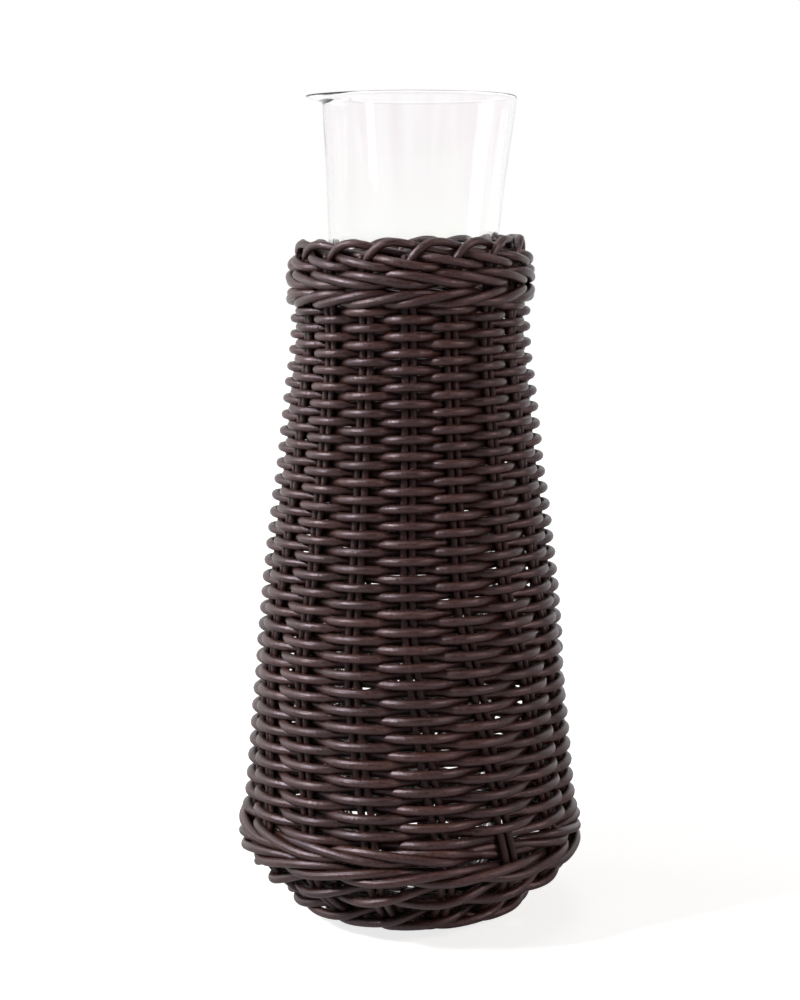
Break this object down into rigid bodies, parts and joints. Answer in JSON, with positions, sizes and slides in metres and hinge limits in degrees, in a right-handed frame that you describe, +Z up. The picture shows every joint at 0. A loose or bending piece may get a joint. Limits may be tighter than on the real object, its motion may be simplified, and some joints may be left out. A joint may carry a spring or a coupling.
{
  "type": "carafe in a woven basket sleeve",
  "caption": "Clear glass carafe insert with a pulled pouring lip, standing in a round-bellied woven sleeve of dark round wicker on paired stakes.",
  "frame": {"origin": "on the surface the basket stands on, at the basket's axis", "axes": "+Z up along the basket's axis; the pouring lip points to -X; the front of the picture is -Y"},
  "size_m": [0.1256, 0.1256, 0.294],
  "materials": {
    "wicker": "round extruded resin wicker, dark brown, satin",
    "stake_wicker": "thinner round resin wicker, dark brown, satin",
    "clear_glass": "clear thin glass"
  },
  "bodies": {
    "basket": {"base_weave": "wicker", "bowl_weave": "wicker", "lower_wale_first_round": "wicker", "lower_wale_second_round": "wicker", "siding_course_1": "wicker", "siding_course_2": "wicker", "siding_course_3": "wicker", "siding_course_4": "wicker", "upper_wale_first_round": "wicker", "upper_wale_second_round": "wicker", "rim_border": "wicker", "stake_01_left": "stake_wicker", "stake_01_right": "stake_wicker", "stake_02_left": "stake_wicker", "stake_02_right": "stake_wicker", "stake_03_left": "stake_wicker", "stake_03_right": "stake_wicker", "stake_04_left": "stake_wicker", "stake_04_right": "stake_wicker", "stake_05_left": "stake_wicker", "stake_05_right": "stake_wicker", "stake_06_left": "stake_wicker", "stake_06_right": "stake_wicker", "stake_07_left": "stake_wicker", "stake_07_right": "stake_wicker", "stake_08_left": "stake_wicker", "stake_08_right": "stake_wicker", "stake_09_left": "stake_wicker", "stake_09_right": "stake_wicker", "stake_10_left": "stake_wicker", "stake_10_right": "stake_wicker", "stake_11_left": "stake_wicker", "stake_11_right": "stake_wicker", "stake_12_left": "stake_wicker", "stake_12_right": "stake_wicker", "stake_13_left": "stake_wicker", "stake_13_right": "stake_wicker", "stake_14_left": "stake_wicker", "stake_14_right": "stake_wicker", "stake_15_left": "stake_wicker", "stake_15_right": "stake_wicker", "stake_16_left": "stake_wicker", "stake_16_right": "stake_wicker"},
    "glass": {"glass_insert": "clear_glass"}
  },
  "joints": [
    {"name": "glass_lift", "type": "slide", "parent": "basket", "child": "glass", "axis": [0, 0, 1], "range_m": [0, 0.25]}
  ]
}
